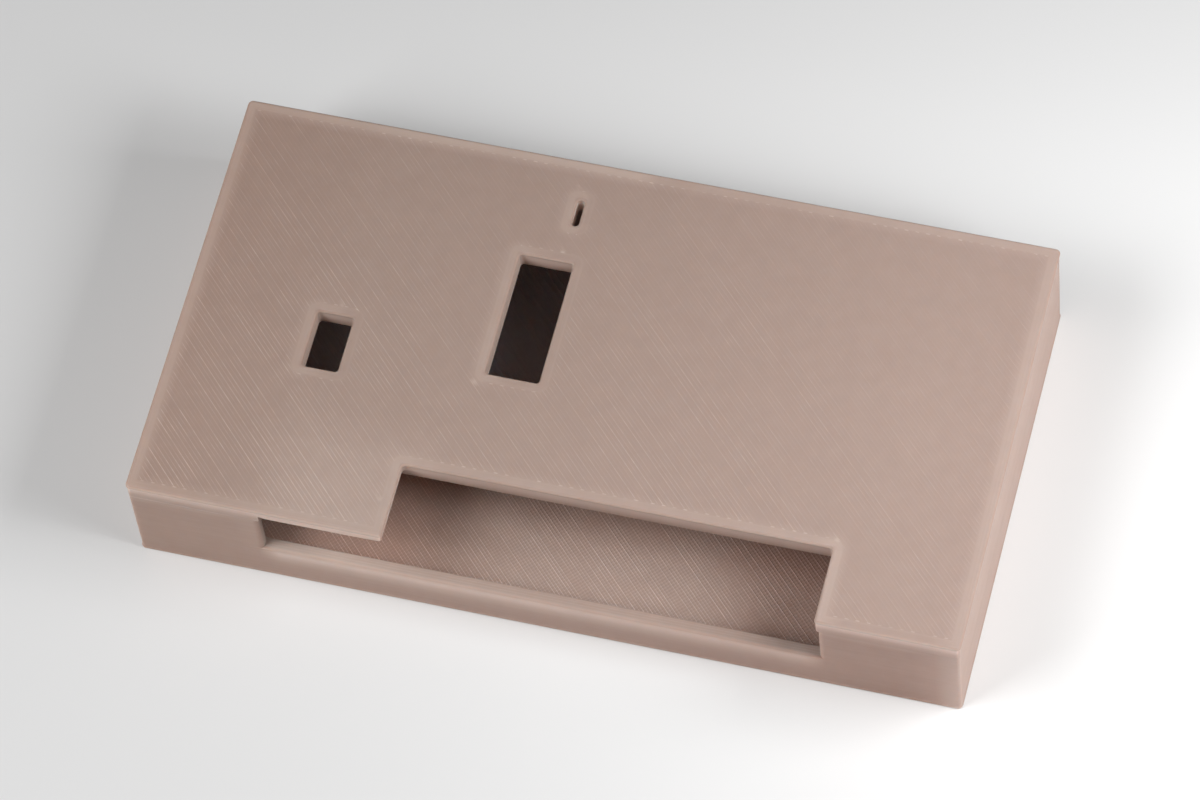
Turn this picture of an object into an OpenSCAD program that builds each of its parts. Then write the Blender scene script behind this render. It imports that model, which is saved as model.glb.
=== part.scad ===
// Two-piece electronics enclosure: an open tray and a flat lid with cut-outs.
// Millimetres. Origin at the middle of the underside, X to the right, Y to the back, Z up.
// Distances "from the left" start at the left face, distances "from the front" at the front face.

/* [Case] */
// Width of the case, left to right
case_w = 99.4; // [92:0.2:140]
// Depth of the case, front to back
case_d = 53.8; // [53:0.2:90]
// Radius of the upright corners
corner_r = 0.6; // [0.2:0.1:1.5]

/* [Tray] */
// Height of the tray, from the ground to the underside of the lid
tray_h = 13; // [10:0.2:40]
// Thickness of the tray's walls
wall = 1.8; // [1.6:0.1:3]
// Thickness of the tray's floor
floor_t = 2; // [1:0.2:3.6]
// Radius of the corners inside the walls
inner_r = 0.3; // [0.1:0.1:1]

/* [Front slot] */
// Distance from the left to the slot
slot_x = 16; // [8:0.5:24]
// Width of the slot
slot_w = 66.5; // [56:0.5:72]
// Height of the sill under the slot, from the ground
sill_h = 6; // [4:0.2:8]

/* [Lid] */
// Thickness of the lid
lid_t = 2.4; // [1.8:0.2:4]
// Thickness of the lid where it spans the front slot
flap_t = 1.2; // [0.8:0.2:1.6]

/* [Roof notch] */
// Distance from the left to the notch
notch_x = 31; // [26:0.5:50]
// Depth of the notch, from the front
notch_d = 9.7; // [6:0.1:16]
// How far the lid stands in past the right end of the front slot
notch_step = 0.2; // [0:0.1:1]
// Radius of the notch's inner corners
notch_r = 0.5; // [0.2:0.1:2]

/* [Locating rim] */
// Depth of the rim under the lid
rim_h = 2; // [1:0.2:3]
// Thickness of the rim
rim_t = 1.2; // [0.8:0.1:2]
// Clearance between the rim and the tray's walls
rim_gap = 0.2; // [0.1:0.05:0.4]

/* [Large window] */
// Distance from the left
large_x = 37.3; // [26:0.1:50]
// Distance from the front
large_y = 23.5; // [18:0.1:25]
// Width
large_w = 6.5; // [4:0.1:12]
// Length, front to back
large_l = 16.4; // [8:0.1:17.8]

/* [Small window] */
// Distance from the left
small_x = 15.9; // [6:0.1:20]
// Distance from the front
small_y = 20; // [18:0.1:30]
// Width
small_w = 4.4; // [2:0.1:6]
// Length, front to back
small_l = 7.4; // [3:0.1:12]

/* [Windows] */
// Radius of the windows' corners
window_r = 0.4; // [0.2:0.1:0.9]

/* [Light slot] */
// Distance from the slot's middle to the large window's right edge
light_in = 1.2; // [0.6:0.1:2]
// Distance from the large window to the slot
light_y = 5.1; // [2:0.1:6.4]
// Width
light_w = 0.9; // [0.6:0.1:1.4]
// Length, with its round ends
light_l = 3.5; // [2:0.1:4.8]

/* [Hidden] */

$fn = 48;
// How far a cut runs past the face that it opens
over = 1;

left = -case_w / 2;
front = -case_d / 2;
inner_w = case_w - 2 * wall;
inner_d = case_d - 2 * wall;
notch_w = slot_x + slot_w - notch_step - notch_x;
rim_w = inner_w - 2 * rim_gap;
rim_d = inner_d - 2 * rim_gap;

shell_color = [0.65, 0.56, 0.51];

// Rectangle with round corners, by its lower left corner
module round_rect(size, r) {
    translate([r, 0]) square([size.x - 2 * r, size.y]);
    translate([0, r]) square([size.x, size.y - 2 * r]);
    for (x = [r, size.x - r], y = [r, size.y - r])
        translate([x, y]) circle(r);
}

// Rectangle with round corners, about the middle of the case
module centred_rect(size, r) {
    translate(-size / 2) round_rect(size, r);
}

// Long hole with round ends, by its lower left corner
module stadium(w, l) {
    translate([0, w / 2]) square([w, l - w]);
    for (y = [w / 2, l - w / 2])
        translate([w / 2, y]) circle(w / 2);
}

// Cut through the lid, placed from the case's left and front faces
module through_lid(x, y) {
    translate([left + x, front + y, tray_h - over])
        linear_extrude(lid_t + 2 * over) children();
}

// Opening in the front wall, from the sill to the open top
module front_slot() {
    translate([left + slot_x, front - over, sill_h])
        cube([slot_w, wall + 2 * over, tray_h - sill_h + over]);
}

// Floor and four walls, printed as one piece
module tray() {
    color(shell_color) difference() {
        linear_extrude(tray_h) centred_rect([case_w, case_d], corner_r);
        translate([0, 0, floor_t])
            linear_extrude(tray_h) centred_rect([inner_w, inner_d], inner_r);
        front_slot();
    }
}

// Low wall under the lid that drops inside the tray's walls
module rim() {
    difference() {
        translate([0, 0, tray_h - rim_h]) linear_extrude(rim_h) difference() {
            centred_rect([rim_w, rim_d], inner_r);
            square([rim_w - 2 * rim_t, rim_d - 2 * rim_t], center = true);
        }
        translate([left + slot_x, front, tray_h - rim_h - over])
            cube([slot_w, notch_d, rim_h + 2 * over]);
    }
}

// Notch in the front edge of the roof, open to the front
module roof_notch() {
    through_lid(notch_x, -notch_r - over)
        round_rect([notch_w, notch_d + notch_r + over], notch_r);
}

// Recess in the lid's underside, which carries the front slot on under the flap
module flap_recess() {
    translate([left + slot_x, front - over, tray_h - over])
        cube([notch_x - slot_x + over, notch_d + over, lid_t - flap_t + over]);
}

// Narrow slot with round ends, behind the large window
module light_slot() {
    through_lid(large_x + large_w - light_in - light_w / 2, large_y + large_l + light_y)
        stadium(light_w, light_l);
}

// Flat lid with its rim, printed as one piece
module lid() {
    color(shell_color) difference() {
        union() {
            translate([0, 0, tray_h])
                linear_extrude(lid_t) centred_rect([case_w, case_d], corner_r);
            rim();
        }
        roof_notch();
        flap_recess();
        through_lid(large_x, large_y) round_rect([large_w, large_l], window_r);
        through_lid(small_x, small_y) round_rect([small_w, small_l], window_r);
        light_slot();
    }
}

tray();
lid();
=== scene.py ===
"""Looks of the electronics enclosure: two printed shells, their plastic, the stage, lights and camera."""

import math

import bmesh
import bpy
import numpy as np
from mathutils import Matrix, Vector, noise
from mathutils.geometry import area_tri, delaunay_2d_cdt


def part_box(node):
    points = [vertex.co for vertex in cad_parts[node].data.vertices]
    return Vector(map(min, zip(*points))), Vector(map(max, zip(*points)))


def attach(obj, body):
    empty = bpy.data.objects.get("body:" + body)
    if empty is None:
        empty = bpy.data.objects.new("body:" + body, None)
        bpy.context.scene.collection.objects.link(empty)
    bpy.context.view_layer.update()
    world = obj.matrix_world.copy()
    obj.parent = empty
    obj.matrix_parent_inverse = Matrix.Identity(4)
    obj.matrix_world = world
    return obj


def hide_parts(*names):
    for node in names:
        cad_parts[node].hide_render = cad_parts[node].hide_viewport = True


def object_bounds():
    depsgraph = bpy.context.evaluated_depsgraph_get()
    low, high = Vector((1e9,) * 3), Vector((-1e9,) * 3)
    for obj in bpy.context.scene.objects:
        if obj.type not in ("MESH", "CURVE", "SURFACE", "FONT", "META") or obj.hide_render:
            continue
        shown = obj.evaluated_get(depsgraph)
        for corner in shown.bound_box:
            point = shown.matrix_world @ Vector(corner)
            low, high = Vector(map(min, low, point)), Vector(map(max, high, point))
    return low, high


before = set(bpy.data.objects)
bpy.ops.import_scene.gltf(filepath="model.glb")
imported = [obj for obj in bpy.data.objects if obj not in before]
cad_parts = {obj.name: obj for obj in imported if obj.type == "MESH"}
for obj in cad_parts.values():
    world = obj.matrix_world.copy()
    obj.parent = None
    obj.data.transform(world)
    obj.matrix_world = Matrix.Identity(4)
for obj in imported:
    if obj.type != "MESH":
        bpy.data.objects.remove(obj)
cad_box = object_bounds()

# Sizes of the solids in millimetres. X is measured from the left face and Y from the front face. The lid's
# face and the tray's base lie deeper by RELIEF, which is room for what stands out from them.
MM = 0.001
RELIEF = 0.03
CASE_W = (cad_box[1].x - cad_box[0].x) / MM
CASE_D = (cad_box[1].y - cad_box[0].y) / MM
TOP_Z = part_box("lid")[1].z / MM - RELIEF
SEAM_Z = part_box("tray")[1].z / MM
CORNER_R = 0.6
WALL = 1.8
FLOOR_Z = 2.0
INNER_R = 0.3
RIM_Z = SEAM_Z - 2.0
RIM_OUT = WALL + 0.2
RIM_IN = RIM_OUT + 1.2

# Openings: the slot is (left, right), above its sill, and the notch is (left, right, depth). The windows and
# the light slot are (left, front, width, length). The flap is the thin front edge over the slot's left end.
SLOT = (16.0, 82.5)
SILL_Z = 6.0
NOTCH = (31.0, 82.3, 9.7)
NOTCH_R = 0.5
NOTCH_FRONT_R = 0.4
LARGE = (37.3, 23.5, 6.5, 16.4)
SMALL = (15.9, 20.0, 4.4, 7.4)
WINDOW_R = 0.4
LIGHT = (42.15, 45.0, 0.9, 3.5)
FLAP_Z = TOP_Z - 1.2
HANG_H = 0.6

# Printed walls: the grooves between layers, and how far a wall stands back from the widest first layer
LAYER = 0.2
LAYER_GROOVE = 0.012
LAYER_SPREAD = 0.003
RECESS = 0.1
HOLE_RECESS = 0.06

# Rounding of the slot's ends, and of the sill along its front and its back
JAMB_R = 0.85
SILL_R = 0.5
SILL_BACK_R = 0.15

# Printed lines: how far apart they are, where the ridges between them lie and half a ridge's width, both as
# shares of that, and how far ridges and the beads at their ends stand up
TOP_PITCH = 0.457
FLOOR_PITCH = 0.378
UNDER_PITCH = 0.42
TOP_RIDGE = 0.82
FLOOR_RIDGE = 2.07
RIDGE_W = 0.16
TOP_RISE = 0.012
FLOOR_RISE = 0.04
UNDER_RISE = 0.03
BEAD_RISE = 0.012
LINE_DRAWS = 997

# Widths beside an edge: the smooth band, the bead past it, where the lines fade in, and how far the painted
# glow of the edge reaches, which is partly the band's own lighter tone
BAND = 1.15
BEAD_W = 0.1
END_REACH = 0.4
GLOW_REACH = 2.2

# The floor inside lies lower beside the walls: (distance from the wall, how much lower)
FLOOR_GAP = ((-RECESS, 0.05), (0.06, 0.02))
FLOOR_EDGE = (0.16, 0.45)

# How the meshes are made: smallest corner radius, longest run, distances for merging, sharpest smooth edge
TINY_R = 0.03
RUN_STEP = 2.5
MERGE = 0.003
SAME = 1e-6
SHARP_ANGLE = math.radians(50)

# What each face is, which says how it is cut and shaped
KINDS = range(7)
WALL_FACE, BAND_FACE, TOP_FACE, FLOOR_FACE, SILL_FACE, UNDER_FACE, BASE_FACE = KINDS

# Unit vectors across and along the printed lines
ACROSS = Vector((1, 1, 0)).normalized()
ALONG = Vector((1, -1, 0)).normalized()


def corner_points(corners, inset, arc=5):
    """The points of each corner of an outline, moved by inset into the material on its left.

    A corner is (x, y, radius), and its radius is None where the outline runs straight on."""
    groups = []
    for i, (x, y, radius) in enumerate(corners):
        here = Vector((x, y))
        before = (here - Vector(corners[i - 1][:2])).normalized()
        after = (Vector(corners[(i + 1) % len(corners)][:2]) - here).normalized()
        n1 = Vector((-before.y, before.x))
        n2 = Vector((-after.y, after.x))
        if radius is None:
            groups.append([here + n1 * inset])
            continue
        turn = before.cross(after)
        grown = max(radius - turn * inset, TINY_R if radius else 0.0)
        middle = here + (n1 + n2) * (inset + turn * grown)
        angles = [math.pi / 2 * k / arc for k in range(arc + 1)]
        groups.append([middle - turn * grown * (n1 * math.cos(a) + n2 * math.sin(a)) for a in angles])
    return groups


def outline(corners, inset=0.0):
    """Closed outline through the corners. Every inset gives the same number of points."""
    nominal = corner_points(corners, 0.0)
    groups = corner_points(corners, inset)
    ring = []
    for i, group in enumerate(groups):
        following = (i + 1) % len(groups)
        pieces = max(1, round((nominal[following][0] - nominal[i][-1]).length / RUN_STEP))
        ring += group
        ring += [group[-1].lerp(groups[following][0], k / pieces) for k in range(1, pieces)]
    return ring


def index_of(ring, point):
    """Index of the ring's point nearest to a place."""
    return min(range(len(ring)), key=lambda i: (ring[i] - Vector(point)).length)


def apart(p, q):
    """Whether two points differ."""
    return (p - q).length > SAME


def at_height(ring, z):
    """The ring's points at a height."""
    return [Vector((p.x, p.y, z)) for p in ring]


def crossings(point, loop):
    """How many sides of a loop lie straight to the right of a point."""
    count = 0
    for a, b in zip(loop, loop[1:] + loop[:1]):
        if (a[1] > point.y) != (b[1] > point.y):
            count += point.x < a[0] + (point.y - a[1]) * (b[0] - a[0]) / (b[1] - a[1])
    return count


class Shell:
    """Faces in millimetres, kept by kind until they are joined into one mesh."""

    def __init__(self):
        self.faces = {kind: [] for kind in KINDS}

    def loft(self, rings, kind, flip=False):
        """Skins closed rings of equally many points, from the first one to the last."""
        for low, high in zip(rings, rings[1:]):
            for i, (a, b) in enumerate(zip(low, low[1:] + low[:1])):
                face = [a, b, high[(i + 1) % len(high)], high[i]]
                self.faces[kind].append(face[::-1] if flip else face)

    def fill(self, loops, kind, flip=False):
        """Fills a flat area, which faces up unless it is flipped.

        The first loop is its border, and the rest are holes."""
        points = [p for loop in loops for p in loop]
        edges = []
        for loop in loops:
            start = len(edges)
            edges += [(start + i, start + (i + 1) % len(loop)) for i in range(len(loop))]
        flat, _, triangles, *_ = delaunay_2d_cdt([Vector(p[:2]) for p in points], edges, [], 0, 1e-6)
        bm = bmesh.new()
        verts = [bm.verts.new((p.x, p.y, points[0][2])) for p in flat]
        for triangle in triangles:
            ends = [flat[i] for i in triangle]
            middle = (ends[0] + ends[1] + ends[2]) / 3
            longest = max((ends[k] - ends[k - 1]).length for k in range(3))
            if area_tri(*ends) > 5e-5 * longest and sum(crossings(middle, loop) for loop in loops) % 2:
                bm.faces.new([verts[i] for i in triangle])
        for edge in [e for e in bm.edges if len(e.link_faces) == 2]:
            beside = [loop for f in edge.link_faces for loop in f.loops]
            angles = [sum(loop.calc_angle() for loop in beside if loop.vert == v) for v in edge.verts]
            if max(angles) < math.pi + 1e-4:
                bmesh.ops.dissolve_edges(bm, edges=[edge])
        for f in bm.faces:
            face = [v.co.copy() for v in f.verts]
            self.faces[kind].append(face[::-1] if (f.normal.z < 0) != flip else face)
        bm.free()

    def slice(self, kind, direction, places):
        """Cuts the faces of one kind with planes across a direction, at ascending places along it.

        The neighbouring faces aren't cut, but gain the new points on the edges that they share."""
        own = {rounded(p) for face in self.faces[kind] for p in face}
        bm = bmesh.new()
        tag = bm.faces.layers.int.new("kind")
        for other, faces in self.faces.items():
            kept = []
            for face in faces:
                if other == kind or sum(rounded(p) in own for p in face) > 1:
                    bm.faces.new([bm.verts.new(p) for p in face])[tag] = other
                else:
                    kept.append(face)
            self.faces[other] = kept
        bmesh.ops.remove_doubles(bm, verts=bm.verts[:], dist=MERGE)

        def reach(face):
            along = [v.co.dot(direction) for v in face.verts]
            return min(along), max(along)

        starts = [(reach(f)[0], i, f) for i, f in enumerate(bm.faces) if f[tag] == kind]
        waiting = sorted(starts, reverse=True)
        active = []
        for place in places:
            while waiting and waiting[-1][0] < place:
                active.append(waiting.pop()[2])
            active = [f for f in active if reach(f)[1] > place]
            if active:
                parts = {*active, *(e for f in active for e in f.edges)}
                parts |= {v for f in active for v in f.verts}
                made = bmesh.ops.bisect_plane(
                    bm, geom=list(parts), dist=1e-5, plane_co=direction * place, plane_no=direction
                )
                active = [g for g in made["geom"] if isinstance(g, bmesh.types.BMFace)]
        for f in bm.faces:
            self.faces[f[tag]].append([v.co.copy() for v in f.verts])
        bm.free()

    def span(self, kind, direction):
        """How far the faces of one kind reach along a direction."""
        along = [p.dot(direction) for face in self.faces[kind] for p in face]
        return min(along), max(along)

    def join(self):
        """Merges equal points. Returns the points, and for each kind which points its faces touch."""
        self.bm = bmesh.new()
        tag = self.bm.faces.layers.int.new("kind")
        known = {}
        for kind, faces in self.faces.items():
            for face in faces:
                corners = []
                for p in face:
                    key = rounded(p)
                    if key not in known:
                        known[key] = self.bm.verts.new(p)
                    if known[key] not in corners:
                        corners.append(known[key])
                if len(corners) > 2:
                    self.bm.faces.new(corners)[tag] = kind
        bmesh.ops.remove_doubles(self.bm, verts=self.bm.verts[:], dist=MERGE)
        self.bm.verts.index_update()
        points = np.array([v.co for v in self.bm.verts])
        touched = np.zeros((len(points), len(KINDS)), bool)
        for f in self.bm.faces:
            for v in f.verts:
                touched[v.index, f[tag]] = True
        return points, touched

    def finish(self, name, points, material, shade, lines, tint, woven):
        """Makes the object from the shaped points, in metres about the middle of the case.

        shade is how much lighter and paler each point is drawn. Most of it is painted light and shade: a
        glow through the translucent edges, highlights, and shading over the lid and the floor. The rest is
        the plastic's own layer marks and flecks. The next argument is the painted highlight that the ridges
        of the printed lines add to that.
        tint multiplies the colour with a painted colour of light and shade, and woven is 1 where the floor's
        weave shows."""
        bmesh.ops.recalc_face_normals(self.bm, faces=self.bm.faces[:])
        for v, p in zip(self.bm.verts, points):
            v.co = p
        for f in self.bm.faces:
            f.smooth = True
            f.normal_update()
        for e in self.bm.edges:
            e.smooth = e.calc_face_angle(math.pi) < SHARP_ANGLE
        mesh = bpy.data.meshes.new(name)
        self.bm.to_mesh(mesh)
        self.bm.free()
        mesh.transform(Matrix.Scale(MM, 4) @ Matrix.Translation((-CASE_W / 2, -CASE_D / 2, 0)))
        # The shade attribute holds painted light and shade besides the plastic's own marks, and lines holds
        # painted highlights on the printed ridges
        for mark, values in (("shade", 1 + shade), ("lines", lines), ("woven", woven)):
            mesh.attributes.new(mark, "FLOAT", "POINT").data.foreach_set("value", values.astype(np.float32))
        # Painted colour of light: what is drawn lighter is also drawn paler, and the light is painted bluer
        # towards the right end
        tint = tint * PALER ** (shade + lines)[:, None] * BLUER ** (points[:, 0] / CASE_W)[:, None]
        tints = mesh.attributes.new("tint", "FLOAT_VECTOR", "POINT").data
        tints.foreach_set("vector", tint.astype(np.float32).ravel())
        mesh.materials.append(material)
        piece = bpy.data.objects.new(name, mesh)
        bpy.context.scene.collection.objects.link(piece)
        return piece


def rounded(point):
    """Key by which equal points are found."""
    return round(point[0], 4), round(point[1], 4), round(point[2], 4)


def smooth_noise(points, size, seed):
    """Smooth noise from -1 to 1 at each point, with bumps of about that size."""
    shift = Vector((seed * 17.3, seed * 5.1, seed * 9.7))
    return np.array([noise.noise(Vector(p) / size + shift) for p in points])


def border_distance(xy, loops):
    """Distance from each point to the nearest of the closed loops."""
    best = np.full(len(xy), 1e9)
    for loop in loops:
        a = np.array([p[:2] for p in loop])
        b = np.roll(a, -1, axis=0)
        for start, stop in zip(a, b):
            run = stop - start
            length = run @ run
            if length < 1e-9:
                continue
            t = np.clip((xy - start) @ run / length, 0, 1)
            best = np.minimum(best, np.linalg.norm(xy - start - t[:, None] * run, axis=1))
    return best


def sideways(loops):
    """The parts of the loops that run more to the side than to the back, as loops of two points each."""
    runs = [(a, b) for loop in loops for a, b in zip(loop, loop[1:] + loop[:1])]
    return [(a, b) for a, b in runs if abs(b.x - a.x) > 3 * abs(b.y - a.y)]


def line_places(span, pitch, ridge_at):
    """Where to cut a face into printed lines: at each ridge, at its feet, and midway between two ridges."""
    first = math.floor(span[0] / pitch - ridge_at)
    last = math.ceil(span[1] / pitch - ridge_at) + 1
    phases = (ridge_at - 0.5, ridge_at - RIDGE_W, ridge_at, ridge_at + RIDGE_W)
    return [(k + phase) * pitch for k in range(first, last) for phase in phases]


def steps(span, step):
    """Evenly spaced places inside a span."""
    count = max(1, round((span[1] - span[0]) / step))
    return [span[0] + (span[1] - span[0]) * k / count for k in range(1, count)]


def printed_lines(points, pitch, ridge_at, ends, seed, swaps=()):
    """How far each point stands on the ridge between two printed lines, and which ones are bead ends.

    The lines were drawn to and fro, so every second ridge is weaker. Past each place in swaps the weak and
    the strong ones change over. At the ends of the lines a bead joins every second pair."""
    u = points @ np.array(ACROSS) / pitch - ridge_at
    nearest = np.round(u)
    strong = (nearest + sum(nearest * pitch > place for place in swaps)) % 2 == 0
    spread = np.random.default_rng(seed).normal(0, 1, LINE_DRAWS)[nearest.astype(int) % LINE_DRAWS]
    slow = smooth_noise(points, 2.8, seed)
    strength = np.where(strong, 1.0, 0.5) * np.clip(1 + 0.27 * spread + 0.8 * slow, 0.25, 1.8)
    on_ridge = np.clip(1 - np.abs(u - nearest) / RIDGE_W, 0, 1)
    inside = np.clip(ends / END_REACH, 0, 1)
    bead = strong & (np.abs(u - nearest) < 0.4) & (np.abs(ends - BEAD_W) < 0.02)
    return on_ridge * strength * inside, bead * np.clip(1 + 0.5 * spread, 0.2, 2.0)


def layer_levels(low, high, recess, seed, flare_low=False, flare_high=False):
    """(inset, z) up a printed wall: a groove between layers, and a wider first layer where there is one."""
    rng = np.random.default_rng(seed)
    levels = []
    for k in range(round((high - low) / LAYER)):
        levels.append((recess + LAYER_GROOVE, low + k * LAYER))
        levels.append((recess + rng.normal(0, LAYER_SPREAD), low + (k + 0.5) * LAYER))
    levels = [p for p in levels if low + 0.06 < p[1] < high - 0.06]
    if flare_low:
        levels = [(i, low + d) for d, i in FLARE] + [p for p in levels if p[1] > low + FLARE[-1][0] + 0.05]
    else:
        levels = [(recess, low)] + levels
    if flare_high:
        levels = [p for p in levels if p[1] < high - FLARE[-1][0] - 0.05]
        levels += [(i, high - d) for d, i in FLARE[::-1]]
    else:
        levels += [(recess, high)]
    return levels


# Edge of the first layer, which spread on the bed: (distance from the bed, inset)
FLARE = (
    (0.0, 0.3),
    (0.008, 0.23),
    (0.04, 0.14),
    (0.1, 0.06),
    (0.17, 0.015),
    (0.25, 0.0),
    (0.34, 0.03),
    (0.45, 0.07),
)

# Smooth lines that follow every edge of the first layer: (distance from the edge, height)
BAND_LINES = ((0.42, 0.0), (0.47, -0.009), (0.52, 0.0), (0.74, 0.0), (0.8, -0.007), (0.86, 0.0), (1.04, 0.0))

# Each table below gives (place, how much lighter the plastic is drawn there). The tables paint light and
# shade: where positive, a glow of light through the translucent edges and highlights on them, where
# negative, shade. This one is for a flat face, by distance from its edge, where the lighter band is partly
# the edge's own tone
FLAT_GLOW = ((0.3, 0.7), (0.45, 1.0), (0.9, 0.9), (1.15, 0.6), (1.6, 0.3), (GLOW_REACH, 0.0))

# Down a wall, by depth below the lid's face: a painted glow below the rounded top edge
WALL_GLOW = (
    (0.0, 0.1), (0.25, 0.4), (0.5, 0.78), (0.8, 0.7),
    (1.2, 0.47), (1.6, 0.28), (2.0, 0.2), (2.4, 0.17),
)

# Down a wall that is drawn lighter or darker only at its rim; the lid's edges use it with negative shares,
# as painted shade over the rim's highlight
RIM_GLOW = ((0.0, 1.0), (0.3, 1.0), (0.4, 0.0))

# Down the walls that face the front inside the cut-outs: a painted glow near the rim, and painted shade
# deeper down
INSIDE_GLOW = (
    (0.0, -0.3), (0.25, 0.35), (0.5, 1.0), (0.8, 1.0),
    (1.2, 0.65), (1.6, 0.3), (2.0, -0.2), (2.4, -0.8),
)

# Down the front below the slot, by depth below the sill: a painted glow below the sill's rounded edge
SILL_GLOW = (
    (0.0, 0.1), (0.1, 0.35), (0.3, 0.5), (0.5, 0.64), (1.0, 0.56),
    (1.4, 0.4), (2.2, 0.2), (3.0, 0.06), (4.0, 0.0),
)

# On the front, by distance from its right corner: a painted glow at the corner
CORNER_GLOW = (
    (0.0, 0.12), (0.3, 0.36), (0.7, 0.5), (1.0, 0.49), (1.8, 0.33),
    (2.6, 0.18), (3.4, 0.1), (5.4, 0.03), (7.0, 0.0),
)

# On the whole front, at its seam, and on top of the sill, by distance from the left: painted light over the
# front, a painted highlight along the seam, and on the sill's top a painted glow of light through the thin
# flap above it, with a little painted shade further right
FRONT_GLOW = ((0, 0.05), (30, 0.05), (50, 0.03), (75, 0.0))
SEAM_GLOW = ((10, 0.3), (16, 0.0))
SILL_TOP_GLOW = (
    (16, 0.38), (18, 0.38), (24, 0.29), (30, 0.17), (36, 0.08),
    (60, 0.02), (70, -0.05), (76, -0.02), (80, 0.08),
)

# What a colour is multiplied by, to paint the colour of light and shade: for a step warmer, for a step
# paler, at the right end, where the light is painted bluer, and on the floor below the windows, where dim
# light is painted
WARMER = np.array((1.055, 0.945, 0.91))
PALER = np.array((0.91, 1.08, 1.17))
BLUER = np.array((1.0, 1.0, 1.027))
UNDER_LID = np.array((0.99, 1.01, 1.11)) * WARMER**-0.3

# Light specks on the lid: (x, y, how much lighter)
SPECKS = (
    (36.3, 22.1, 0.35),
    (42.2, 41.2, 0.3),
    (41.7, 50.2, 0.28),
    (82.6, 10.9, 0.35),
    (18.5, 28.8, 0.25),
    (29.6, 4.8, 0.25),
)

LID_CORNERS = [
    (0, 0, CORNER_R),
    (SLOT[0], 0, None),
    (NOTCH[0], 0, NOTCH_FRONT_R),
    (NOTCH[0], NOTCH[2], NOTCH_R),
    (NOTCH[1], NOTCH[2], NOTCH_R),
    (NOTCH[1], 0, NOTCH_FRONT_R),
    (CASE_W, 0, CORNER_R),
    (CASE_W, CASE_D, CORNER_R),
    (0, CASE_D, CORNER_R),
]


def hole_corners(x, y, w, l, radius):
    """Corners of a hole, with the material on the left."""
    return [(x, y, radius), (x, y + l, radius), (x + w, y + l, radius), (x + w, y, radius)]


HOLES = [
    hole_corners(*LARGE, WINDOW_R),
    hole_corners(*SMALL, WINDOW_R),
    hole_corners(*LIGHT, LIGHT[2] / 2),
]

# The lid's edges, with their painted glow and shade: (both ends, how much lighter the flat face is drawn
# there, table for the wall below, how much lighter that is drawn, where a negative share paints shade)
LID_EDGES = [
    (((0, 0), (0, CASE_D)), 0.27, WALL_GLOW, 0.3),
    (((0, CASE_D), (CASE_W / 2, CASE_D)), 0.33, WALL_GLOW, 0.3),
    (((CASE_W / 2, CASE_D), (CASE_W, CASE_D)), 0.16, WALL_GLOW, 0.3),
    (((CASE_W, CASE_D), (CASE_W, 0)), 0.15, RIM_GLOW, -0.1),
    (((CASE_W, 0), (NOTCH[1], 0)), 0.01, WALL_GLOW, 1.1),
    (((NOTCH[1], 0), (NOTCH[1], NOTCH[2])), 0.2, WALL_GLOW, 0.2),
    (((NOTCH[1], NOTCH[2]), (NOTCH[0], NOTCH[2])), 0.12, INSIDE_GLOW, 0.35),
    (((NOTCH[0], NOTCH[2]), (NOTCH[0], 0)), 0.07, RIM_GLOW, -0.12),
    (((NOTCH[0], 0), (0, 0)), 0.16, WALL_GLOW, 1.0),
]
for hole, inside in ((LARGE, 0.52), (SMALL, 0.52), (LIGHT, 0.3)):
    left, front, right, back = hole[0], hole[1], hole[0] + hole[2], hole[1] + hole[3]
    LID_EDGES += [
        (((left, front), (left, back)), 0.16, RIM_GLOW, -0.08),
        (((left, back), (right, back)), 0.05, INSIDE_GLOW, inside),
        (((right, back), (right, front)), 0.04, WALL_GLOW, 0.1),
        (((right, front), (left, front)), 0.03, WALL_GLOW, 0.1),
    ]


def first_layer(shell, corners, holes, z, up, kind):
    """The face that was printed on the bed: smooth lines along its edges, and a flat area between them."""
    side = 1 if up else -1
    edge = [(FLARE[0][1], 0.0), *BAND_LINES, (BAND, -0.01)]
    for loop in (corners, *holes):
        rings = [at_height(outline(loop, inset), z + side * h) for inset, h in edge]
        shell.loft(rings, BAND_FACE, flip=not up)
        insets = (BAND + BEAD_W, BAND + 2 * BEAD_W, BAND + END_REACH, GLOW_REACH)
        inner = [at_height(outline(loop, inset), z) for inset in insets]
        shell.loft([rings[-1], *inner], kind, flip=not up)
    loops = [at_height(outline(loop, GLOW_REACH), z) for loop in (corners, *holes)]
    shell.fill(loops, kind, flip=not up)


def from_table(table, place):
    """Value of a table of (place, value) at each place."""
    return np.interp(place, *zip(*table))


def in_light(x, y):
    """Whether a point of the lid is on the wall of the light slot."""
    return (np.abs(x - LIGHT[0] - LIGHT[2] / 2) < 0.6) & (np.abs(y - LIGHT[1] - LIGHT[3] / 2) < 1.85)


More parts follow.
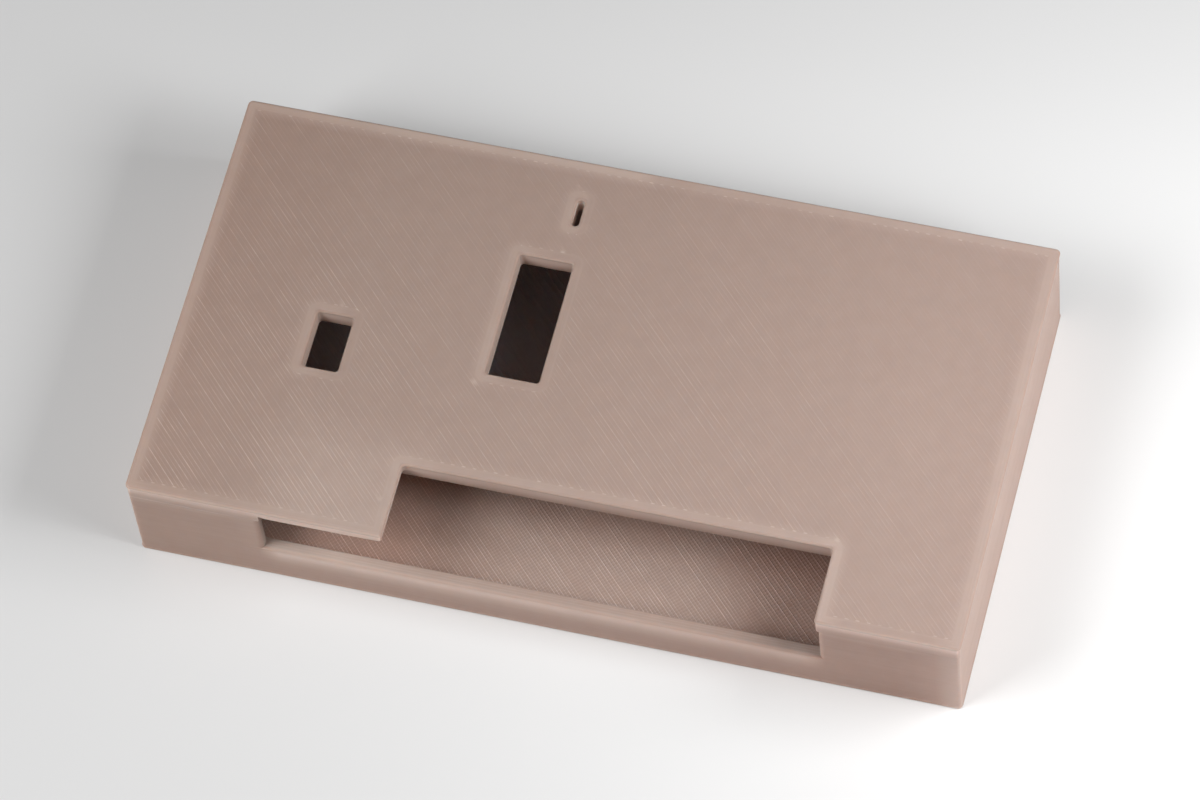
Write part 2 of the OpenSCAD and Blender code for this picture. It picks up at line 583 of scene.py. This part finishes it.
def lid_glow(points):
    """Painted light and shade on the lid: a glow near its edges, partly their own lighter tone, light
    through the lid over the front slot where it is thin, highlights, and a slope of light across its face.
    """
    x, y, z = points.T
    glow = np.zeros(len(points))
    nearest = np.full(len(points), 1e9)
    for ends, on_flat, profile, on_wall in LID_EDGES:
        distance = border_distance(points[:, :2], [ends])
        flat = from_table(FLAT_GLOW, distance) * on_flat
        flat += 0.04 * np.interp(distance, (0.86, 1.04, 1.15, 1.25), (0, 1, 1, 0))
        wall = from_table(profile, TOP_Z - z) * on_wall
        rim = wall + (flat - wall) * np.clip(distance / 0.3, 0, 1)
        here = np.where(z > TOP_Z - 0.3, rim, wall * (distance < 0.35))
        closest = (distance < 0.3) & (distance < nearest)
        glow = np.where(closest, here, np.where(nearest < 0.3, glow, np.maximum(glow, here)))
        nearest = np.minimum(nearest, distance)
    below_rim = np.interp(TOP_Z - z, (0.3, 0.8), (0, 1))
    # Painted highlight along the seam at the left, painted glow at the right front corner, and painted light
    # over the front
    seam = np.interp(z, (SEAM_Z + 0.05, SEAM_Z + 0.12), (1, 0)) * from_table(SEAM_GLOW, x)
    corner = 0.7 * from_table(CORNER_GLOW, CASE_W - x) * below_rim
    glow += (seam + corner + from_table(FRONT_GLOW, x)) * (y < 0.5)
    # Painted light that comes through the thin flap over the slot
    thin = np.interp(x, (12, 21, 33, 36), (0, 1, 1, 0))
    thin *= np.interp(y, (0, 0.5, 2, 9, 14.5), (0.25, 0.25, 1, 0.75, 0))
    glow += 0.17 * thin * (z > SEAM_Z + 1.1)
    # Painted light: a slight slope of brightness across the face, lighter at the front, darker at the back
    # and the sides
    slope = np.interp(y, (12, 26), (1, 0)) * np.interp(x, (55, 85), (0.035, -0.01))
    slope += np.interp(y, (26, CASE_D), (0, 1)) * np.interp(x, (40, 80), (-0.045, -0.03))
    slope += np.interp(x, (0, 12, 18, 88, 96), (-0.035, -0.025, 0.005, 0.005, -0.015))
    glow += slope * (z > TOP_Z - 0.1)
    # Painted glow on the walls inside the light slot
    return glow + 0.9 * in_light(x, y) * below_rim


def lid_tint(points):
    """Tint that paints the colour of light on the lid: warmer at the left, and on the walls that face the
    front.
    """
    x, y, z = points.T
    from_right = CASE_W - x
    # Painted colour of light: warmer at the left, changed at the right edge, warm inside the light slot, and
    # on the walls that face the front
    warm = np.interp(x, (0, 20, 60, 90), (0.4, 0.08, 0.06, 0.0))
    warm += np.interp(from_right, (0, 0.1, 0.15, 0.22, 0.35, 0.8), (0.35, 0.25, -0.2, -0.35, -0.05, 0))
    inside = np.abs(y - NOTCH[2]) < 0.12
    for left, front, width, length in (LARGE, SMALL):
        inside |= (np.abs(y - front - length) < 0.12) & (np.abs(x - left - width / 2) < width / 2)
    walls = np.interp(x, (0, CASE_W - 0.5, CASE_W), (0.9, 1.3, 0.6)) - 0.45 * inside
    warm += 0.6 * in_light(x, y) * (z < TOP_Z - 0.8)
    return WARMER ** np.where((inside | (y < 0.5)) & (z < TOP_Z - 0.3), walls, warm)[:, None]


def layer_marks(points, walls, seed):
    """Slight change of shade from layer to layer and along each one, on the walls."""
    broad = smooth_noise(points * np.array((0.015, 0.015, 1.0)), 0.5, seed)
    fine = smooth_noise(points * np.array((0.1, 0.1, 1.0)), 0.25, seed + 10)
    return (0.027 * broad + 0.032 * fine) * walls


RIM_CORNERS = [
    (SLOT[1], RIM_OUT, 0),
    (CASE_W - RIM_OUT, RIM_OUT, INNER_R),
    (CASE_W - RIM_OUT, CASE_D - RIM_OUT, INNER_R),
    (RIM_OUT, CASE_D - RIM_OUT, INNER_R),
    (RIM_OUT, RIM_OUT, INNER_R),
    (SLOT[0], RIM_OUT, 0),
    (SLOT[0], RIM_IN, 0),
    (RIM_IN, RIM_IN, 0),
    (RIM_IN, CASE_D - RIM_IN, 0),
    (CASE_W - RIM_IN, CASE_D - RIM_IN, 0),
    (CASE_W - RIM_IN, RIM_IN, 0),
    (SLOT[1], RIM_IN, 0),
]


def lower_ring(inset):
    """Outline of the lid's lower half, which runs round the recess under the flap."""
    ring = outline(LID_CORNERS, inset)
    at_slot = index_of(ring, (SLOT[0], inset))
    past_notch = index_of(ring, (NOTCH[0] + NOTCH_R, NOTCH[2] + inset))
    back = NOTCH[2] + inset
    side = [Vector((SLOT[0], y)) for y in (RIM_OUT, RIM_IN, 5.4, 7.5, back)]
    along = [Vector((x, back)) for x in (18.5, 21.0, 23.5, 26.0, 28.7)]
    return ring[: at_slot + 1] + side + along + ring[past_notch:]


def flap_ceiling():
    """Outline of the recess under the flap."""
    ring = outline(LID_CORNERS, RECESS)
    whole = lower_ring(RECESS)
    first = index_of(ring, (SLOT[0], RECESS))
    last = index_of(ring, (NOTCH[0] + NOTCH_R, NOTCH[2] + RECESS))
    around = len(ring) - last
    recess = whole[first : len(whole) - around + 1]
    return ring[first : last + 1] + recess[1:-1][::-1]


def underside(rim, inset):
    """Outline of the lid's underside, which leaves out the rim that stands on it."""
    outer_end = Vector((SLOT[0], RIM_OUT))
    inner_end = Vector((SLOT[0], RIM_IN))
    border = lower_ring(inset)
    start = index_of(border, inner_end)
    border = border[start:] + border[:start]
    last = max(i for i, p in enumerate(rim) if not apart(p, outer_end))
    walk = rim[index_of(rim, inner_end) + 1 :] + rim[: last + 1]
    whole = border + [p for p in walk[::-1] if apart(p, outer_end) and apart(p, inner_end)]
    return [p for p, q in zip(whole, whole[1:] + whole[:1]) if apart(p, q)]


def build_lid(material):
    """The lid: its printed face, walls, windows, recess and rim."""
    shell = Shell()
    first_layer(shell, LID_CORNERS, HOLES, TOP_Z, True, TOP_FACE)

    # Walls: all round the upper half, and past the recess under the flap in the lower half
    levels = layer_levels(SEAM_Z, TOP_Z, RECESS, seed=3, flare_high=True)
    upper = [p for p in levels if p[1] >= FLAP_Z - SAME]
    upper[0] = (RECESS, FLAP_Z)
    lower = [p for p in levels if p[1] < FLAP_Z - SAME] + [upper[0]]
    shell.loft([at_height(outline(LID_CORNERS, i), z) for i, z in upper], WALL_FACE)
    shell.loft([at_height(lower_ring(i), z) for i, z in lower], WALL_FACE)
    shell.fill([at_height(flap_ceiling(), FLAP_Z)], UNDER_FACE, flip=True)

    # Walls of the windows and the light slot
    for loop in HOLES:
        levels = layer_levels(SEAM_Z, TOP_Z, HOLE_RECESS, seed=5, flare_high=True)
        shell.loft([at_height(outline(loop, i), z) for i, z in levels], WALL_FACE)

    # Rim under the lid, and the underside round it
    rim = outline(RIM_CORNERS)
    shell.loft([at_height(rim, z) for z in (RIM_Z, SEAM_Z)], WALL_FACE)
    shell.fill([at_height(rim, RIM_Z)], UNDER_FACE, flip=True)
    bottoms = [at_height(outline(loop, HOLE_RECESS), SEAM_Z) for loop in HOLES]
    shell.fill([at_height(underside(rim, lower[0][0]), SEAM_Z), *bottoms], UNDER_FACE, flip=True)

    shell.slice(TOP_FACE, ACROSS, line_places(shell.span(TOP_FACE, ACROSS), TOP_PITCH, TOP_RIDGE))
    shell.slice(TOP_FACE, ALONG, steps(shell.span(TOP_FACE, ALONG), RUN_STEP))
    shell.slice(UNDER_FACE, ACROSS, line_places(shell.span(UNDER_FACE, ACROSS), UNDER_PITCH, TOP_RIDGE))
    shell.slice(UNDER_FACE, ALONG, steps(shell.span(UNDER_FACE, ALONG), 6 * RUN_STEP))

    points, touched = shell.join()
    shade = lid_glow(points) + layer_marks(points, touched[:, WALL_FACE], seed=41)
    lines = np.zeros(len(points))
    top = touched[:, TOP_FACE]
    loops = [outline(loop, BAND) for loop in (LID_CORNERS, *HOLES)]
    ends = border_distance(points[top, :2], loops)
    ridge, bead = printed_lines(points[top], TOP_PITCH, TOP_RIDGE, ends, seed=11, swaps=(22.0, 50.0))
    bead *= border_distance(points[top, :2], sideways(loops)) < ends + 0.02
    x, y = points[top, 0], points[top, 1]
    # Painted highlights on the ridges of the printed lines, stronger at the left and at the front
    marked = np.interp(x, (0, 20, 32, 60, 85, 99), (0.36, 0.31, 0.16, 0.22, 0.1, 0.13))
    marked *= np.interp(y, (10, 30, 45), (0.96, 0.72, 0.42))
    lines[top] = ridge * marked
    # Painted highlight on the beads at the ends of the lines
    shade[top] += 0.22 * bead
    for speck_x, speck_y, lighter in SPECKS:
        shade[top] += lighter * np.clip(1 - np.hypot(x - speck_x, y - speck_y) / 0.4, 0, 1)
    points[top, 2] += TOP_RISE * ridge + BEAD_RISE * bead
    under = touched[:, UNDER_FACE] & ~touched[:, WALL_FACE]
    far_from_ends = np.full(under.sum(), 9.0)
    ridge, _ = printed_lines(points[under], UNDER_PITCH, TOP_RIDGE, far_from_ends, seed=12)
    points[under, 2] += UNDER_RISE * ridge

    # The flap hangs forward a little at its lower edge
    x, y, z = points.T
    hang = np.interp(x, (SLOT[0], SLOT[0] + 1, NOTCH[0] - 0.6, NOTCH[0] - 0.2), (0, 1, 1, 0))
    hang *= (y < 0.3) * (z > FLAP_Z - 0.01) * np.interp(z, (FLAP_Z, FLAP_Z + HANG_H), (1, 0))
    points[:, 1] -= np.clip(y, 0, None) * hang
    return shell.finish("lid_shell", points, material, shade, lines, lid_tint(points), np.zeros(len(points)))


TRAY_OUTER = [
    (0, 0, CORNER_R),
    (SLOT[0] - JAMB_R, 0, None),
    (SLOT[1] + JAMB_R, 0, None),
    (CASE_W, 0, CORNER_R),
    (CASE_W, CASE_D, CORNER_R),
    (0, CASE_D, CORNER_R),
]
TRAY_INNER = [
    (WALL, WALL, INNER_R),
    (WALL, CASE_D - WALL, INNER_R),
    (CASE_W - WALL, CASE_D - WALL, INNER_R),
    (CASE_W - WALL, WALL, INNER_R),
    (SLOT[1] + JAMB_R, WALL, None),
    (SLOT[0] - JAMB_R, WALL, None),
]
TRAY_UPPER = [
    (SLOT[1], 0, JAMB_R),
    (CASE_W, 0, CORNER_R),
    (CASE_W, CASE_D, CORNER_R),
    (0, CASE_D, CORNER_R),
    (0, 0, CORNER_R),
    (SLOT[0], 0, JAMB_R),
    (SLOT[0], WALL, JAMB_R),
    (WALL, WALL, INNER_R),
    (WALL, CASE_D - WALL, INNER_R),
    (CASE_W - WALL, CASE_D - WALL, INNER_R),
    (CASE_W - WALL, WALL, INNER_R),
    (SLOT[1], WALL, JAMB_R),
]

# Lines along the sill: (distance from the front, how far each point is up on one)
SILL_STREAKS = (
    (0.5, 0), (0.56, 1), (0.64, 0), (0.8, 0), (0.88, 0.8),
    (0.96, 0), (1.14, 0), (1.22, 1), (1.3, 0), (1.5, 0),
)
SILL_CUTS = (0.14, 0.22, 0.3, 0.38, 0.46, *(y for y, _ in SILL_STREAKS), 1.58, 1.66)


def tray_glow(points):
    """Painted light and shade on the tray: a glow near the edges of its front, a highlight at its foot, and
    shade towards the bottom near its ends.
    """
    x, y, z = points.T
    # Painted glow under the sill's rounded edge, weaker towards the right
    under_sill = np.interp(x, (SLOT[0] - 1, SLOT[0] + 1, SLOT[1] - 1, SLOT[1] + 1), (0, 1, 1, 0))
    glow = from_table(SILL_GLOW, SILL_Z - z) * under_sill * (z < SILL_Z + 0.01)
    glow *= np.interp(x, (25, 50, 75), (1.08, 1.05, 0.85))
    # Painted glow at the ends of the slot
    left_jamb = np.interp(np.abs(x - SLOT[0]), (0.4, 1.2, 2.4), (0.14, 0.08, 0))
    right_jamb = np.interp(np.abs(x - SLOT[1]), (0.4, 1.2), (0.04, 0))
    glow = np.maximum(glow, (left_jamb + right_jamb) * (z > SILL_Z))
    # Painted highlight along the seam at the left, and a painted glow just below the lid
    seam = np.interp(z, (SEAM_Z - 0.15, SEAM_Z - 0.08), (0, 1)) * from_table(SEAM_GLOW, x)
    under_lid = np.interp(SEAM_Z - z, (0, 0.4, 0.8, 1.2), (0.16, 0.15, 0.06, 0))
    glow = np.maximum(glow, (seam + under_lid) * (np.abs(x - CASE_W / 2) > SLOT[1] - CASE_W / 2))
    glow = np.maximum(glow, from_table(CORNER_GLOW, CASE_W - x))
    # Painted highlight along the first layer at the foot, and painted shade towards the bottom near the ends
    foot = np.interp(z, (0.1, 0.2, 0.45, 0.6), (0, 0.12, 0.12, 0))
    low = np.interp(x, (8, 16, 83, 88, 96, 98), (-0.05, 0, 0, -0.1, -0.1, 0))
    low *= np.interp(z, (0.8, 7), (1, 0))
    return (glow + foot + low + from_table(FRONT_GLOW, x)) * (y < 0.5)


def below_windows(x, y):
    """How far a place on the floor is in the dim light that falls through the lid's windows."""
    across = np.interp(x, (10, 12, 19, 22, 29, 33, 43, 46), (0, 1, 1, 0, 0, 1, 1, 0))
    return across * np.interp(y, (17, 25), (0, 1))


def floor_glow(x, y):
    """Painted light and shade on the floor: lighter below the windows, lighter or darker across the slot,
    and further back in it.
    """
    below = below_windows(x, y) * np.interp(y, (25, 42), (0.6, 1.0)) * np.interp(x, (15, 35), (0.3, 1))
    across = np.interp(x, (20, 30, 34, 44, 74, 80), (0.08, 0, -0.08, 0, 0, -0.08))
    behind = np.interp(x, (34, 40, 46, 66, 76), (0.5, 0.4, 0.06, 0.05, -0.22))
    return below + across + behind * np.interp(y, (9, 13), (0, 1))


def tray_tint(points):
    """Tint that paints the colour of light and shade on the tray: warmer on the front and on most of the
    floor, bluer below the windows.
    """
    x, y, z = points.T
    in_slot = (x > SLOT[0]) & (x < SLOT[1])
    # Painted colour of light on the walls: warmer on the front, less on the sill's rounded edge, and on the
    # walls inside and at the side
    front = np.interp(CASE_W - x, (0, 0.1, 0.6, 2, 40, CASE_W), (0.6, 0.5, 0.9, 1.15, 0.85, 0.8))
    front -= np.interp(z, (SILL_Z - 0.7, SILL_Z - 0.4, SILL_Z), (0, 0.25, 0.65)) * in_slot
    side = np.interp(y, (0.6, 1, WALL, WALL + 0.5), (-0.2, 0.05, 0.1, 0.42))
    side = np.where(CASE_W - x < 0.12, 0.42, side)
    inside = (z < FLOOR_Z + 0.1) & (z > FLOOR_Z - 0.1) & (y > WALL)
    # Painted colour of the shade on the floor, warmer at the slot's ends and further back
    floor = np.interp(x, (30, 36, 44, 66, 76), (1.2, 0.6, 0.12, 0.12, 0.95))
    floor += np.interp(y, (9, 14), (0, 0.7))
    tint = WARMER ** np.where(inside, floor, np.where(y < 0.5, front, side))[:, None]
    # Painted colour of the dim light on the floor below the windows
    return tint + (UNDER_LID - tint) * (inside * below_windows(x, y))[:, None]


def sill_outline():
    """Outline of the sill: runs of the outer and the inner ring, and the ends of the walls at the slot."""
    outer_ring = outline(TRAY_OUTER, RECESS)
    inner_ring = outline(TRAY_INNER, RECESS)
    upper_ring = outline(TRAY_UPPER, RECESS)
    left, right = SLOT[0] - JAMB_R, SLOT[1] + JAMB_R
    front, back = RECESS, WALL - RECESS
    front_run = outer_ring[index_of(outer_ring, (left, front)) : index_of(outer_ring, (right, front)) + 1]
    back_run = inner_ring[index_of(inner_ring, (right, back)) : index_of(inner_ring, (left, back)) + 1]
    left_end = upper_ring[index_of(upper_ring, (left, front)) : index_of(upper_ring, (left, back)) + 1]
    right_end = upper_ring[index_of(upper_ring, (right, back)) :]
    right_end += upper_ring[: index_of(upper_ring, (right, front)) + 1]
    return front_run[:-1] + right_end[::-1][:-1] + back_run[:-1] + left_end[::-1][:-1]


def round_sill(points):
    """Rounds the sill along its front and its back edge, less and less towards the slot's ends."""
    in_slot = (points[:, 0] > SLOT[0]) & (points[:, 0] < SLOT[1])
    front = in_slot & (points[:, 1] < WALL / 2)
    back = in_slot & ~front & (points[:, 1] < WALL)
    edges = ((front, 1, RECESS, SILL_R), (back, -1, WALL - RECESS, SILL_BACK_R))
    for edge, side, border, radius in edges:
        x, y, z = points.T
        nearness = np.clip(np.minimum(x - SLOT[0], SLOT[1] - x) / 0.6, 0, 1)
        into = (y - border) * side
        down = SILL_Z - z
        rounded_off = edge & (into < radius) & (down < radius) & (down > -0.1)
        turn = (np.clip(into, 0, radius) - np.clip(down, 0, radius)) / radius + 1
        turn = np.clip(turn, 0, 2) * math.pi / 4
        new_y = border + side * radius * (1 - np.cos(turn))
        new_z = SILL_Z - radius * (1 - np.sin(turn))
        points[:, 1] = np.where(rounded_off, y + (new_y - y) * nearness, y)
        points[:, 2] = np.where(rounded_off, z + (new_z - z) * nearness, z)


def build_tray(material):
    """The tray: its walls, the sill of its slot, the floor inside and the base."""
    shell = Shell()
    levels = layer_levels(RELIEF, SEAM_Z, RECESS, seed=7, flare_low=True)
    lower = [p for p in levels if p[1] < SILL_Z - SAME] + [(RECESS, SILL_Z)]
    upper = [(RECESS, SILL_Z)] + [p for p in levels if p[1] > SILL_Z + SAME]
    shell.loft([at_height(outline(TRAY_OUTER, i), z) for i, z in lower], WALL_FACE)
    shell.loft([at_height(outline(TRAY_UPPER, i), z) for i, z in upper], WALL_FACE)
    inner = [(RECESS, FLOOR_Z - 0.05)] + [p for p in lower if p[1] > FLOOR_Z + 0.05]
    shell.loft([at_height(outline(TRAY_INNER, i), z) for i, z in inner], WALL_FACE)
    shell.fill([at_height(outline(TRAY_UPPER, upper[-1][0]), SEAM_Z)], WALL_FACE)
    shell.fill([at_height(sill_outline(), SILL_Z)], SILL_FACE)

    # Floor inside, with a gap along the walls where the lines end
    gap = [at_height(outline(TRAY_INNER, -d), FLOOR_Z - h) for d, h in FLOOR_GAP]
    edge = [at_height(outline(TRAY_INNER, -d), FLOOR_Z) for d in FLOOR_EDGE]
    shell.loft(gap, WALL_FACE, flip=True)
    shell.loft([gap[-1], *edge], FLOOR_FACE, flip=True)
    shell.fill([edge[-1][::-1]], FLOOR_FACE)

    first_layer(shell, TRAY_OUTER, [], RELIEF, False, BASE_FACE)
    shell.slice(BASE_FACE, ACROSS, line_places(shell.span(BASE_FACE, ACROSS), TOP_PITCH, TOP_RIDGE))
    shell.slice(BASE_FACE, ALONG, steps(shell.span(BASE_FACE, ALONG), 4 * RUN_STEP))
    shell.slice(FLOOR_FACE, ACROSS, line_places(shell.span(FLOOR_FACE, ACROSS), FLOOR_PITCH, FLOOR_RIDGE))
    shell.slice(FLOOR_FACE, ALONG, steps(shell.span(FLOOR_FACE, ALONG), RUN_STEP))
    shell.slice(SILL_FACE, Vector((0, 1, 0)), SILL_CUTS)
    shell.slice(SILL_FACE, Vector((1, 0, 0)), [SLOT[0] + 0.15, SLOT[0] + 0.35, *steps(SLOT, RUN_STEP)])
    points, touched = shell.join()

    shade = tray_glow(points) + layer_marks(points, touched[:, WALL_FACE], seed=42)
    x, y, z = points.T
    # Painted light on the back wall behind the light slot
    behind_light = (np.abs(x - LIGHT[0] + 1.5) < 3) & (np.abs(y - CASE_D + WALL) < 0.2)
    shade += 0.8 * behind_light * (z > FLOOR_Z) * (z < RIM_Z)
    lines = np.zeros(len(points))
    floor = touched[:, FLOOR_FACE] & ~touched[:, WALL_FACE]
    ends = border_distance(points[floor, :2], [outline(TRAY_INNER, -FLOOR_GAP[1][0])])
    ridge, _ = printed_lines(points[floor], FLOOR_PITCH, FLOOR_RIDGE, ends, seed=21)
    # Painted highlights on the floor's printed ridges
    lines[floor] = 0.55 * ridge * np.interp(points[floor, 1], (18, 24), (1, 0))
    # Painted light and shade on the floor
    shade[floor] += floor_glow(points[floor, 0], points[floor, 1])
    points[floor, 2] += FLOOR_RISE * ridge

    base = touched[:, BASE_FACE]
    ends = border_distance(points[base, :2], [outline(TRAY_OUTER, BAND)])
    ridge, bead = printed_lines(points[base], TOP_PITCH, TOP_RIDGE, ends, seed=22)
    # Painted highlights on the base's printed ridges
    lines[base] = 0.1 * ridge
    points[base, 2] -= TOP_RISE * ridge + BEAD_RISE * bead

    # Sill: lines along its length, and rounded along its long edges
    sill = touched[:, SILL_FACE]
    x, y = points[sill, 0], points[sill, 1]
    uneven = smooth_noise(points[sill] * np.array((0.1, 1, 1)), 0.5, seed=31)
    streak = from_table(SILL_STREAKS, y) * (1 + 0.5 * uneven)
    # The sill's top also gets a painted glow of light through the thin flap above it
    shade[sill] += 0.1 * streak + from_table(SILL_TOP_GLOW, x) * np.interp(y, (0.3, 0.6), (0.5, 1))
    points[sill, 2] += TOP_RISE * streak
    round_sill(points)
    woven = touched[:, FLOOR_FACE] * np.interp(points[:, 1], (18, 24), (1, 0))
    return shell.finish("tray_shell", points, material, shade, lines, tray_tint(points), woven)


def printed_plastic():
    """Matte pale rose-brown plastic, slightly translucent, with fine print texture."""
    material = bpy.data.materials.new("printed_plastic")
    material.use_nodes = True
    tree = material.node_tree
    nodes, links = tree.nodes, tree.links
    shader = nodes["Principled BSDF"]
    shader.inputs["Roughness"].default_value = 0.55
    shader.inputs["IOR"].default_value = 1.45
    shader.inputs["Specular IOR Level"].default_value = 0.2
    shader.inputs["Subsurface Weight"].default_value = 1.0
    shader.inputs["Subsurface Radius"].default_value = (1.0, 0.75, 0.6)
    shader.inputs["Subsurface Scale"].default_value = 0.0006
    place = nodes.new("ShaderNodeTexCoord")

    def attribute(name):
        node = nodes.new("ShaderNodeAttribute")
        node.attribute_name = name
        return node

    def cloudy(scale, detail):
        node = nodes.new("ShaderNodeTexNoise")
        node.inputs["Scale"].default_value = scale
        node.inputs["Detail"].default_value = detail
        links.new(place.outputs["Object"], node.inputs["Vector"])
        return node

    # Colour: slightly mottled, then drawn lighter by painted light and shade, most of all at the edges, with
    # painted highlights on the weave and, in patches, along the printed lines, and tinted by the painted
    # colour of light
    broad = cloudy(500.0, 5.0)
    ramp = nodes.new("ShaderNodeValToRGB")
    ramp.color_ramp.elements[0].position = 0.3
    ramp.color_ramp.elements[0].color = (0.390, 0.295, 0.250, 1)
    ramp.color_ramp.elements[1].position = 0.7
    ramp.color_ramp.elements[1].color = (0.406, 0.307, 0.260, 1)
    links.new(broad.outputs["Fac"], ramp.inputs["Fac"])
    shade = attribute("shade")
    lines = attribute("lines")
    # The painted highlights along the printed lines come and go in patches
    patchy = cloudy(1200.0, 2.0)
    broken = nodes.new("ShaderNodeMapRange")
    broken.inputs["From Min"].default_value = 0.38
    broken.inputs["From Max"].default_value = 0.62
    broken.inputs["To Min"].default_value = 0.7
    broken.inputs["To Max"].default_value = 1.3
    lined = nodes.new("ShaderNodeMath")
    lined.operation = "MULTIPLY_ADD"
    links.new(patchy.outputs["Fac"], broken.inputs["Value"])
    links.new(lines.outputs["Fac"], lined.inputs[0])
    links.new(broken.outputs["Result"], lined.inputs[1])
    links.new(shade.outputs["Fac"], lined.inputs[2])
    # Painted highlights on the floor's weave
    weave_highlights = nodes.new("ShaderNodeMath")
    weave_highlights.operation = "MULTIPLY_ADD"
    weave_highlights.inputs[1].default_value = 0.12
    shaded = nodes.new("ShaderNodeVectorMath")
    shaded.operation = "SCALE"
    links.new(ramp.outputs["Color"], shaded.inputs["Vector"])
    links.new(lined.outputs["Value"], weave_highlights.inputs[2])
    links.new(weave_highlights.outputs["Value"], shaded.inputs["Scale"])
    # Painted colour of light and shade
    tint = attribute("tint")
    tinted = nodes.new("ShaderNodeVectorMath")
    tinted.operation = "MULTIPLY"
    links.new(shaded.outputs["Vector"], tinted.inputs[0])
    links.new(tint.outputs["Vector"], tinted.inputs[1])
    links.new(tinted.outputs["Vector"], shader.inputs["Base Color"])

    # Relief: a fine grain, and on the floor the faint ends of the layer below, across the lines
    fine = cloudy(9000.0, 3.0)
    grain = nodes.new("ShaderNodeBump")
    grain.inputs["Strength"].default_value = 0.25
    grain.inputs["Distance"].default_value = 0.00002
    links.new(fine.outputs["Fac"], grain.inputs["Height"])
    turned = nodes.new("ShaderNodeVectorRotate")
    turned.rotation_type = "Z_AXIS"
    turned.inputs["Angle"].default_value = math.radians(45)
    waves = nodes.new("ShaderNodeTexWave")
    waves.inputs["Scale"].default_value = 776.0
    waves.inputs["Distortion"].default_value = 0.6
    woven = attribute("woven")
    masked = nodes.new("ShaderNodeMath")
    masked.operation = "MULTIPLY"
    weave = nodes.new("ShaderNodeBump")
    weave.inputs["Strength"].default_value = 1.0
    weave.inputs["Distance"].default_value = 0.00002
    links.new(place.outputs["Object"], turned.inputs["Vector"])
    links.new(turned.outputs["Vector"], waves.inputs["Vector"])
    links.new(waves.outputs["Fac"], masked.inputs[0])
    links.new(woven.outputs["Fac"], masked.inputs[1])
    links.new(masked.outputs["Value"], weave.inputs["Height"])
    # The weave also gets its painted highlights
    links.new(masked.outputs["Value"], weave_highlights.inputs[0])
    links.new(grain.outputs["Normal"], weave.inputs["Normal"])
    links.new(weave.outputs["Normal"], shader.inputs["Normal"])
    return material


def pale_floor():
    """Plain white floor under the part."""
    mesh = bpy.data.meshes.new("floor")
    half = 3.0
    corners = [(-half, -half, 0), (half, -half, 0), (half, half, 0), (-half, half, 0)]
    mesh.from_pydata(corners, [], [(0, 1, 2, 3)])
    floor = bpy.data.objects.new("floor", mesh)
    bpy.context.scene.collection.objects.link(floor)
    material = bpy.data.materials.new("white_floor")
    material.use_nodes = True
    shader = material.node_tree.nodes["Principled BSDF"]
    shader.inputs["Base Color"].default_value = (0.75, 0.75, 0.75, 1)
    shader.inputs["Roughness"].default_value = 0.7
    mesh.materials.append(material)


def soft_light(name, azimuth, elevation, distance, size, power):
    """Square soft box that looks at the part. Azimuth turns from the right to the back, in degrees."""
    data = bpy.data.lights.new(name, "AREA")
    data.size = size
    data.energy = power
    light = bpy.data.objects.new(name, data)
    turn, rise = math.radians(azimuth), math.radians(elevation)
    towards = Vector((math.cos(turn) * math.cos(rise), math.sin(turn) * math.cos(rise), math.sin(rise)))
    light.location = towards * distance
    light.rotation_mode = "QUATERNION"
    light.rotation_quaternion = towards.to_track_quat("Z", "Y")
    bpy.context.scene.collection.objects.link(light)


def studio():
    """Dim white surroundings, and three soft boxes: two on the right, and a larger one on the left."""
    world = bpy.data.worlds.new("studio")
    world.use_nodes = True
    background = world.node_tree.nodes["Background"]
    background.inputs["Color"].default_value = (1, 1, 1, 1)
    background.inputs["Strength"].default_value = 0.02
    bpy.context.scene.world = world
    soft_light("key", 0, 42, 0.18, 0.1, 0.214)
    soft_light("side", -15, 42, 0.27, 0.1, 0.197)
    soft_light("fill", 215, 45, 0.5, 0.3, 1.9)
    bpy.context.scene.view_settings.view_transform = "Standard"


def camera():
    """Camera with the photograph's viewing angle: in front of the part, to its right and well above it."""
    data = bpy.data.cameras.new("camera")
    data.lens = 191.87
    data.sensor_width = 36.0
    data.clip_start, data.clip_end = 0.01, 20.0
    right = Vector((0.96701, 0.24587, -0.06664))
    up = Vector((-0.18520, 0.85818, 0.47878))
    back = right.cross(up)
    view = bpy.data.objects.new("camera", data)
    turned = Matrix((right, up, back)).transposed().to_4x4()
    view.matrix_world = Matrix.Translation((0.13182, -0.33940, 0.66680)) @ turned
    bpy.context.scene.collection.objects.link(view)
    bpy.context.scene.camera = view


plastic = printed_plastic()
for node, build in (("lid", build_lid), ("tray", build_tray)):
    shell_piece = build(plastic)
    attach(shell_piece, "root")
    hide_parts(node)

pale_floor()
studio()
camera()
